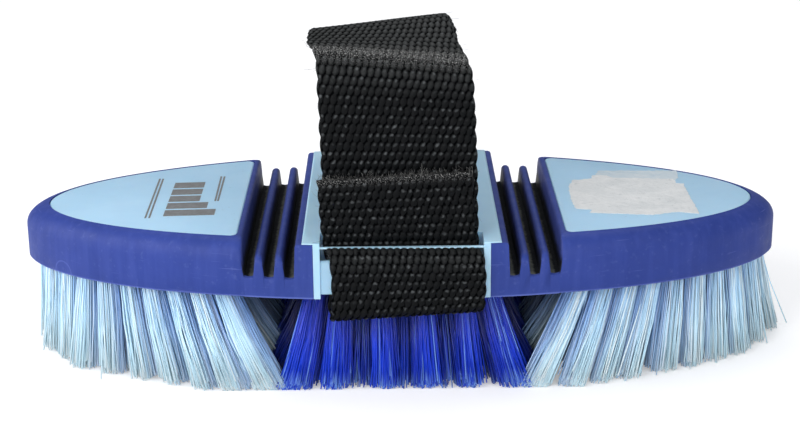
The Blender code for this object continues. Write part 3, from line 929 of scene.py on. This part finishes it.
def end_tufts(side):
    """Outer row along the rubber's outline, and staggered rows inside it. The third number is how
    deep in the field a tuft stands."""
    samples = [blend(first_tuft, tuft_tip, math.sin(turn)) for turn in turns(outline_samples + 1)]
    samples = [(x, tuft_outline_reach(x)) for x in samples]
    tufts = []
    since = tuft_pitch
    for (x0, y0), (x1, y1) in zip(samples, samples[1:]):
        if since >= tuft_pitch:
            tufts.append((side * x0, -y0, 0))
            if y0 > tuft_pitch / 3:
                tufts.append((side * x0, y0, 0))
            since -= tuft_pitch
        since += math.hypot(x1 - x0, y1 - y0)
    columns = round((tuft_tip - first_tuft) / tuft_row_pitch)
    for column in range(columns + 1):
        x = blend(first_tuft, tuft_tip, column / columns)
        limit = tuft_outline_reach(x) - tuft_row_pitch
        shift = tuft_pitch / 2 * (column % 2)
        for row in range(-tuft_rows, tuft_rows + 1):
            y = row * tuft_pitch + shift
            if abs(y) < limit:
                tufts.append((side * x, y, second_row_depth if limit - abs(y) < tuft_pitch else 1))
    return tufts


def centre_tufts():
    """Rows across the centre block; every second row stands in the gaps of the one before."""
    rows = round(2 * centre_tuft_reach / centre_row_pitch)
    tufts = []
    for row in range(rows + 1):
        y = blend(-centre_tuft_reach, centre_tuft_reach, row / rows)
        places = centre_between_places if row % 2 else centre_tuft_places
        for x in sorted({turn * place for place in places for turn in (-1, 1)}):
            tufts.append((x, y, min(min(row, rows - row) * centre_row_depth, 1)))
    return tufts


def filament_faces(count):
    """Side faces of a number of filaments, and the end face of each."""
    pattern = []
    last = (filament_sections - 1) * filament_sides
    for low in range(0, last, filament_sides):
        high = low + filament_sides
        for side in range(filament_sides):
            after = (side + 1) % filament_sides
            pattern.append((low + side, high + side, high + after, low + after))
    starts = np.arange(count)[:, None] * filament_sections * filament_sides
    sides = (np.array(pattern)[None] + starts[:, :, None]).reshape(-1, 4)
    ends = np.arange(filament_sides)[::-1] + last + starts
    return sides.tolist() + ends.tolist()


def build_filaments(place, tufts, hole_radius, tip_of, material, body, slot):
    """Every tuft is a bundle that leaves its hole and opens towards the trimmed tips."""
    rng = np.random.default_rng(filament_seeds[place])
    counts = np.array([inner_tuft_filaments if depth else outer_tuft_filaments for x, y, depth in tufts])
    count = int(counts.sum())

    def for_filaments(values):
        """Repeat what each tuft has for all its filaments."""
        return np.repeat(np.array(values, float), counts, axis=0)

    roots = for_filaments([(x, y) for x, y, depth in tufts])
    depths = for_filaments([depth for x, y, depth in tufts])
    tips = for_filaments([tip_of(*tuft) for tuft in tufts])
    tips += for_filaments(rng.normal(0, tuft_scatter, (len(tufts), 2)))
    angle = rng.uniform(0, 2 * math.pi, count)
    radius = np.sqrt(rng.uniform(0, 1, count))
    fan = for_filaments(rng.uniform(-tuft_fan_radius, tuft_fan_radius, len(tufts)))
    around = np.stack((np.cos(angle), np.sin(angle)), axis=1)
    tips += around * (radius * (tuft_spread_radius + fan))[:, None]
    tips += rng.normal(0, tip_scatter, (count, 2))
    stray = rng.uniform(0, 1, count) < stray_share
    tips += stray[:, None] * rng.normal(0, stray_reach, (count, 2))
    tips[:, 1] = np.clip(tips[:, 1], tip_clearance - half_width, half_width - tip_clearance)
    tip_z = np.abs(rng.normal(0, trim_unevenness, count))
    bow = rng.normal(0, filament_bow, (count, 2))
    spin = rng.uniform(0, 2 * math.pi, count)[:, None]
    thickness = filament_radius * rng.uniform(*filament_radius_shares, count)
    chance = rng.uniform(0, 1, count)
    # Share on the tuft's flank facing the middle, where shade is painted
    inward = -np.sign(roots[:, 0]) * around[:, 0] * radius
    flank = np.clip((inward - flank_shade_start) / (1 - flank_shade_start), 0, 1) ** 0.5
    roots = roots + around * (radius * hole_radius)[:, None]
    root_z = slice_top - tip_droop - filament_bedding
    corner = np.arange(filament_sides) * 2 * math.pi / filament_sides
    corners = np.stack((np.cos(corner) * np.cos(spin) - np.sin(corner) * np.sin(spin),
                        np.cos(corner) * np.sin(spin) + np.sin(corner) * np.cos(spin)), axis=2)
    points = np.zeros((count, filament_sections, filament_sides, 3))
    colours = np.zeros((count, filament_sections, filament_sides, 4))
    for index, along in enumerate(np.linspace(0, 1, filament_sections)):
        middle = roots + (tips - roots) * along ** filament_opening_power + bow * math.sin(math.pi * along)
        grown = thickness * (1 + filament_tip_growth * along)
        points[:, index, :, :2] = middle[:, None] + corners * grown[:, None, None]
        points[:, index, :, 2] = (root_z + (tip_z - root_z) * along)[:, None]
        # Channels: random share, place along, painted flank shade and painted deep shade
        tones = (chance, np.full(count, along), flank * (1 - flank_shade_fade * along),
                 depths * (1 - depth_shade_fade * along ** 2))
        colours[:, index] = np.stack(tones, axis=1)[:, None]
    places = points.reshape(-1, 3).tolist()
    made = object_of_faces(place + "_filaments", places, filament_faces(count), material)
    colour_points(made, "filament", colours)
    dress(made, body, slot, place + "_bristles")


def build_soles():
    """Undersides that the tufts stand in."""
    low_z = block_foot + sole_recess
    for place, side in (("left", -1), ("right", 1)):
        shape = loft([end_plan(side, plate_start, 1, 0, plate_corner_radius, z) for z in (low_z, slice_top)])
        dress(object_from(place + "_sole", shape, PLASTIC), place + "_end", "light_blue_plastic")
    shape = bmesh.new()
    half_y = slot_inner_edge - centre_sole_inset
    bmesh.ops.create_cube(shape, size=1)
    for vertex in shape.verts:
        x, y, z = vertex.co
        vertex.co = Vector((x * 2 * centre_core_half, y * 2 * half_y, blend(low_z, slice_top, z + 0.5)))
    dress(object_from("centre_sole", shape, PLASTIC), "centre", "light_blue_plastic")


# Strap
def strap_station(x, y, z, tilt=0, skew=0):
    """The strap's left and right edge at one place of its route."""
    half_x = math.sqrt(strap_width ** 2 - tilt ** 2 - skew ** 2) / 2
    return [Vector((x + turn * half_x, y + turn * skew / 2, z + turn * tilt / 2)) for turn in (-1, 1)]


def threaded_route():
    """Depth, height, sway and tilt of the front flap, the loop round the bars and the leg."""
    half = strap_thickness / 2
    flap_y = rim_bar_inner - flap_stand_off - half
    leg_y = flap_y - strap_thickness - strap_gap
    outside_y = strap_bar_outer + loop_stand_off + half
    behind_y = strap_bar_inner - strap_gap - half
    window_z = (window_top + strap_bar_top) / 2
    bar_foot = block_foot + strap_bar_foot
    turn_y = (outside_y + behind_y) / 2
    turn_radius = (outside_y - behind_y) / 2
    turn_z = bar_foot - loop_hang
    under_rim = window_top - half - strap_gap
    route = [(flap_y, plate_top + flap_height, -0.95, 0.9),
             (flap_y, plate_top + flap_height * 0.55, -0.7, 0.4),
             (flap_y, plate_top + flap_height * 0.15, -0.35, 0.1),
             (rim_bar_inner - half - strap_gap * 3, window_top, -0.1, 0),
             (rim_bar_inner - half / 2, under_rim, 0.15, 0),
             (outside_y - half, window_top - loop_hump_drop, 0.5, -0.2),
             (outside_y, strap_bar_top - half / 4, 0.85, 0),
             (outside_y, blend(strap_bar_top, bar_foot, 0.35), 0.9, 0.1),
             (outside_y, bar_foot, 0.95, 0.5)]
    for turn in turns(loop_turn_points, math.pi):
        route.append((turn_y + turn_radius * math.cos(turn), turn_z - turn_radius * math.sin(turn),
                      blend(0.95, 0.3, turn / math.pi), 1))
    route += [(behind_y, bar_foot, 0.3, 0.5),
              (behind_y, blend(bar_foot, strap_bar_top, 0.85), 0.1, 0),
              (blend(behind_y, leg_y, 0.4), window_z, 0, 0),
              (blend(behind_y, leg_y, 0.85), plate_top, 0, 0),
              (leg_y, plate_top + strap_thickness * 2, -0.1, 0)]
    return route, leg_y


def smooth_route(points):
    """Smooth curve through the points, with even steps between each two."""
    padded = [points[0]] + points + [points[-1]]
    curve = []
    for a, b, c, d in zip(padded, padded[1:], padded[2:], padded[3:]):
        for step in range(route_steps):
            t = step / route_steps
            curve.append((b * 2 + (c - a) * t + (a * 2 - b * 5 + c * 4 - d) * t ** 2
                          + (b * 3 - a - c * 3 + d) * t ** 3) / 2)
    return np.array(curve + [points[-1]])


def strap_stations():
    """Edges of the strap at even steps along it, and how far along its crest, its ridge and the
    top of its front loop lie."""
    route, leg_y = threaded_route()
    stations = [strap_station(loop_sway * sway, -y, z, loop_tilt * tilt) for y, z, sway, tilt in route]
    marked = (len(stations) + crest_point, len(stations) + ridge_point, loop_top_point)
    for run, rise, sway, fall, lag in arch_shares:
        stations.append(strap_station(-arch_sway * sway, leg_y * run, plate_top + arch_height * rise,
                                      -arch_tilt * fall, arch_skew * lag))
    stations += [strap_station(0, y, z) for y, z, sway, tilt in reversed(route)]
    edges = [smooth_route([station[edge] for station in stations]) for edge in (0, 1)]
    strides = np.linalg.norm(np.diff((edges[0] + edges[1]) / 2, axis=0), axis=1)
    lengths = np.concatenate(([0], np.cumsum(strides)))
    along = np.linspace(0, lengths[-1], int(lengths[-1] / weave_step_along))
    left, right = (np.stack([np.interp(along, lengths, edge[:, axis]) for axis in range(3)], axis=1)
                   for edge in edges)
    return left, right, along, [lengths[point * route_steps] for point in marked]


def weave_relief(across, along, rising):
    """Height of a plain weave: each warp yarn passes over one weft row and under the next."""
    best = np.zeros_like(across)
    row = np.round(along / weft_pitch)
    for this_row in (row - 1, row, row + 1):
        parity = np.mod(this_row, 2)
        yarn = np.round((across / warp_pitch - parity) / 2) * 2 + parity
        off_along = (along - this_row * weft_pitch) / yarn_half_length
        off_across = (across - yarn * warp_pitch) / yarn_half_width - off_along * rising * yarn_slant
        inside = np.clip(1 - off_across ** 2 - off_along ** 2, 0, None)
        best = np.maximum(best, np.sqrt(inside))
    return best


def ramp(values, start, run):
    """Share that rises from nothing at start to one at the end of the run."""
    return np.clip((values - start) / run, 0, 1)


def hump(values, middle, width):
    return np.exp(-((values - middle) / width) ** 2)


def strap_marks(along, crest, ridge, loop_top, rising):
    """Wear on the crest and the cut ends, lint with painted top light on the top face, lint on the slope and
    the loop, and which way is up.
    """
    wear = hump(along, crest, crest_wear_width)
    wear += cut_wear_share * (hump(along, along[-1], cut_wear_width) + hump(along, 0, cut_wear_width))
    # Lint with painted top light on the top face, from the crest to past the ridge
    lint_and_light = ramp(along, crest - top_lint_light_lead, top_lint_light_run)
    lint_and_light *= 1 - ramp(along, ridge + ridge_lint_light_run, ridge_lint_light_run)
    lint_and_light += slope_lint_share * ramp(along, crest - slope_lint_lead, slope_lint_run) * (along < crest)
    lint_and_light += loop_lint_share * hump(along, loop_top + loop_lint_lag, loop_lint_width)
    return np.stack((wear, np.clip(lint_and_light, 0, 1), rising * 0.5 + 0.5, np.ones(len(along))), axis=1)


def build_strap():
    """Webbing as woven relief on both faces, in three lengths that meet edge to edge."""
    left, right, along, (crest, ridge, loop_top) = strap_stations()
    rng = np.random.default_rng(edge_seed)
    forward = np.gradient(left + right, axis=0)
    sideways = right - left
    normals = np.cross(forward, sideways)
    normals /= np.linalg.norm(normals, axis=1)[:, None]
    direction = sideways / np.linalg.norm(sideways, axis=1)[:, None]
    rising = np.clip(slant_gain * forward[:, 2] / np.linalg.norm(forward, axis=1), -1, 1)
    shares = np.linspace(0, 1, weave_steps_across + 1)
    selvedge = np.clip((0.5 - np.abs(shares - 0.5)) / selvedge_share, 0, 1)
    round_edge = np.sqrt(1 - (1 - selvedge) ** 2)
    column = along[:, None]
    across = (shares - 0.5) * strap_width + 0 * column
    phase = math.pi * column / (2 * weft_pitch)
    scallop = np.where(across < 0, 1 - np.abs(np.cos(phase)), np.abs(np.sin(phase)) - 1)
    stretched = across + scallop * selvedge_scallop * (np.abs(across) / (strap_width / 2)) ** scallop_power
    wander = rng.normal(0, edge_wander, edge_wander_points)
    stretched += np.interp(along, np.linspace(0, along[-1], edge_wander_points), wander)[:, None]
    cockle = sum(height * np.sin(column * lengthwise + across * crosswise)
                 for height, lengthwise, crosswise in strap_cockles)
    base = ((left + right) / 2)[:, None] + direction[:, None] * stretched[:, :, None]
    faces = []
    for turn, shift in ((1, 0), (-1, warp_pitch)):
        relief = weave_relief(across + shift, column + 0 * across, rising[:, None])
        reach = (strap_thickness / 2 - weave_height) * round_edge + weave_height * relief * round_edge
        faces.append(base + normals[:, None] * (reach * turn + cockle)[:, :, None])
    marks = strap_marks(along, crest, ridge, loop_top, rising)
    ends = (crest - strap_top_lead, along[-1] * strap_back_share)
    cuts = [0, *(int(cut) for cut in np.searchsorted(along, ends)), len(along) - 1]
    for name, first, last in zip(("strap_front", "strap_top", "strap_back"), cuts, cuts[1:]):
        part = slice(first, last + 1)
        add_webbing(name, faces[0][part], faces[1][part], across[part], along[part], marks[part],
                    first == 0, last == len(along) - 1)
    build_fibres(base, normals)


def add_webbing(name, front, back, across, along, marks, open_start, open_end):
    """One length of the strap. Its two faces share their edge points."""
    rows, columns = across.shape

    def both(above, below):
        """What the points of both faces have, in the order of the points."""
        size = above.shape[-1]
        return np.concatenate((above.reshape(-1, size), below[:, 1:-1].reshape(-1, size)))

    grid = np.arange(rows * columns).reshape(rows, columns)
    under = grid.copy()
    under[:, 1:-1] = rows * columns + np.arange(rows * (columns - 2)).reshape(rows, columns - 2)

    def quads(table):
        corners = (table[:-1, :-1], table[:-1, 1:], table[1:, 1:], table[1:, :-1])
        return np.stack(corners, axis=-1).reshape(-1, 4)

    faces = quads(grid)[:, ::-1].tolist() + quads(under).tolist()
    if open_start:
        faces.append(list(grid[0, :]) + list(under[0, -2:0:-1]))
    if open_end:
        faces.append(list(grid[-1, ::-1]) + list(under[-1, 1:-1]))
    made = object_of_faces(name, both(front, back).tolist(), faces, WEBBING)
    marks = np.repeat(marks[:, None, :], columns, axis=1)
    colour_points(made, "webbing", both(marks, marks))
    places = np.stack((across, along[:, None] + 0 * across), axis=-1) * millimetres
    places = both(places, places + np.array((warp_pitch * millimetres, 0)))
    loops = np.empty(len(made.data.loops), int)
    made.data.loops.foreach_get("vertex_index", loops)
    made.data.uv_layers.new(name="weave").data.foreach_set("uv", places[loops].reshape(-1))
    if name == "strap_front":
        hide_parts("hand_strap")
    dress(made, "centre", "black_webbing")


def build_fibres(base, normals):
    """Frayed fibres on the two cut ends, and loose ones at the edges."""
    rng = np.random.default_rng(fibre_seed)
    rows, columns = base.shape[:2]
    fibres = []
    for index in range(cut_fibres + loose_fibres):
        if index < cut_fibres:
            row = 0 if index % 2 else rows - 1
            column = int(rng.integers(0, columns))
            outward = base[0, column] - base[2, column] if row == 0 else base[-1, column] - base[-3, column]
            length = rng.uniform(*cut_fibre_lengths)
        else:
            row = int(rng.integers(0, rows))
            column = 0 if index % 2 else columns - 1
            outward = base[row, column] - base[row, columns // 2]
            length = rng.uniform(*loose_fibre_lengths)
        outward = outward / np.linalg.norm(outward)
        lift = normals[row] * rng.uniform(-fibre_lift, fibre_lift)
        start = base[row, column] - outward * fibre_bedding + lift
        fibres.append((start, outward + rng.normal(0, fibre_scatter, 3), length))
    vertices, faces = [], []
    for start, way, length in fibres:
        curl = rng.normal(0, fibre_curl, 3)
        aside = np.cross(way, off_fibre)
        aside /= np.linalg.norm(aside)
        beside = np.cross(way, aside)
        beside /= np.linalg.norm(beside)
        first = len(vertices)
        for share in fibre_stations:
            middle = start + (way * share + curl * share ** 2) * length
            for turn in fibre_corners:
                vertices.append(middle + (aside * math.cos(turn) + beside * math.sin(turn)) * fibre_radius)
        sides = len(fibre_corners)
        last = len(vertices) - sides
        for low in range(first, last, sides):
            for side in range(sides):
                after = (side + 1) % sides
                faces.append((low + side, low + after, low + after + sides, low + side + sides))
        faces.append(range(last, last + sides))
    dress(object_of_faces("strap_fibres", vertices, faces, FIBRE), "centre", "black_webbing")


# Label and print
def lay_on_plate(name, shape, side, material, smooth_degrees=smooth_below_degrees):
    """Let a flat piece follow the end plate, which falls a little towards its tip."""
    for vertex in shape.verts:
        vertex.co.z -= droop_at(side * vertex.co.x)
    made = object_from(name, shape, material, smooth_degrees)
    dress(made, "left_end" if side < 0 else "right_end", "light_blue_plastic")


def torn_patch(name, corners, thickness, material, seed):
    """Flat patch on the right plate with a torn outline."""
    rng = random.Random(seed)
    outline = []
    for (x0, y0), (x1, y1) in zip(corners, corners[1:] + corners[:1]):
        steps = max(round(math.hypot(x1 - x0, y1 - y0) / label_tear_pitch), 2)
        for step in range(steps):
            share = step / steps
            outline.append((blend(x0, x1, share) + rng.uniform(-1, 1) * label_tear,
                            blend(y0, y1, share) + rng.uniform(-1, 1) * label_tear))
    shape = loft([[Vector((x, y, plate_top + z)) for x, y in outline] for z in (-thickness, thickness)])
    bmesh.ops.triangulate(shape, faces=[face for face in shape.faces if len(face.verts) > 4])
    lay_on_plate(name, shape, 1, material, label_smooth_degrees)


def build_label():
    """Bare torn price label on the right plate, and what is left of its glue."""
    torn_patch("torn_label", label_corners, label_thickness, PAPER, label_seed)
    torn_patch("glue_residue", residue_corners, residue_thickness, RESIDUE, residue_seed)


def build_print():
    """Two pairs of plain lines and a stack of plain bars on the left plate."""
    shape = bmesh.new()
    for start, end, breadth in print_strokes:
        start, end = Vector((*start, 0)), Vector((*end, 0))
        aside = (end - start).normalized().cross(Vector((0, 0, 1))) * breadth / 2
        corners = [start + aside, end + aside, end - aside, start - aside]
        loft([[corner + Vector((0, 0, plate_top + z)) for corner in corners]
              for z in (-print_thickness, print_thickness)], shape=shape)
    lay_on_plate("printed_strokes", shape, -1, INK)


# Stage
def build_stage():
    shape = bmesh.new()
    bmesh.ops.create_grid(shape, x_segments=1, y_segments=1, size=floor_half_size)
    object_from("floor", shape, floor_material())
    world = bpy.data.worlds.new("studio")
    bpy.context.scene.world = world
    world.use_nodes = True
    background = world.node_tree.nodes["Background"]
    background.inputs["Color"].default_value = sky_tone
    background.inputs["Strength"].default_value = sky_strength
    for name, place, size, power in studio_lights:
        light = bpy.data.lights.new(name, "AREA")
        light.size = size
        light.energy = power
        lamp = bpy.data.objects.new(name, light)
        lamp.location = place
        lamp.rotation_euler = (Vector(light_target) - Vector(place)).to_track_quat("-Z", "Y").to_euler()
        bpy.context.scene.collection.objects.link(lamp)


def build_camera():
    data = bpy.data.cameras.new("camera")
    data.sensor_width = sensor_width
    data.lens = camera_focal_pixels * sensor_width / photo_width
    data.clip_start = camera_clip_start
    camera = bpy.data.objects.new("camera", data)
    forward = Vector((math.sin(camera_yaw) * math.cos(camera_pitch),
                      math.cos(camera_yaw) * math.cos(camera_pitch), -math.sin(camera_pitch)))
    level = Vector((math.cos(camera_yaw), -math.sin(camera_yaw), 0))
    above = level.cross(forward)
    right = level * math.cos(camera_roll) + above * math.sin(camera_roll)
    up = above * math.cos(camera_roll) - level * math.sin(camera_roll)
    turn = Matrix((right, up, -forward)).transposed().to_4x4()
    camera.matrix_world = Matrix.Translation(camera_place) @ turn
    bpy.context.scene.collection.objects.link(camera)
    bpy.context.scene.camera = camera


def build_all():
    build_centre_block()
    build_soles()
    for place, side in (("left", -1), ("right", 1)):
        build_end_block(place, side)
        build_rim(place, side)
        build_collar(place, side)
        for order in ("inner", "outer"):
            build_rib(place, side, order)
        bodies = ("centre", place + "_inner", place + "_outer", place + "_end")
        for order, pair in zip(("inner", "middle", "outer"), zip(bodies, bodies[1:])):
            build_web(place, side, order)
        build_filaments(place, end_tufts(side), end_hole_radius, end_tip, PALE, place + "_end",
                        "pale_bristle")
    build_filaments("centre", centre_tufts(), centre_hole_radius, centre_tip, ROYAL, "centre", "blue_bristle")
    build_strap()
    build_label()
    build_print()


bpy.context.scene.view_settings.view_transform = "Standard"
build_stage()
build_camera()
build_all()
